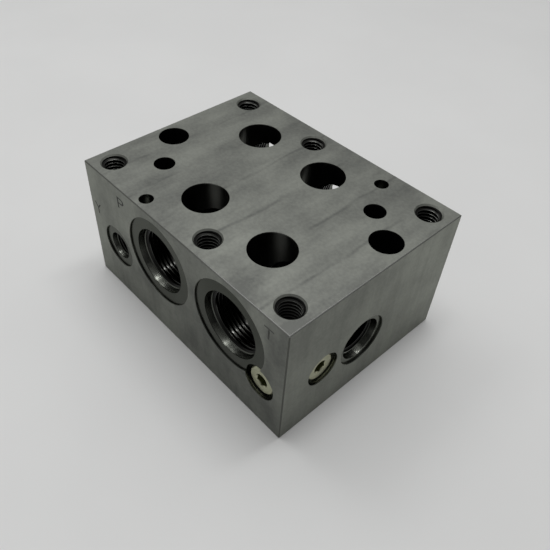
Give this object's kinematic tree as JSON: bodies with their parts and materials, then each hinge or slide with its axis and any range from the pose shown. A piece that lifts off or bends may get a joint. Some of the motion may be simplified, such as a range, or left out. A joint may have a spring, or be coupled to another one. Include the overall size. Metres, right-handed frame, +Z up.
{
  "type": "hydraulic valve subplate",
  "caption": "Drilled iron block that carries a hydraulic valve on its ground top face, with O-ring ports on front and back, a relief cartridge cavity and screwed plugs.",
  "frame": {"origin": "middle of the block's underside", "axes": "+X along the length to the relief cavity's face, -Y to the face with the pressure and tank ports, +Z up to the valve face"},
  "size_m": [0.1524, 0.1142, 0.0762],
  "materials": {
    "block": "ground ductile iron, bare and oiled",
    "plug": "yellow zinc-plated steel",
    "seal": "moulded nitrile rubber"
  },
  "bodies": {
    "root": {"subplate_block": "block", "front_plug": "plug", "side_plug": "plug", "front_plug_seal": "seal", "side_plug_seal": "seal"}
  },
  "joints": []
}
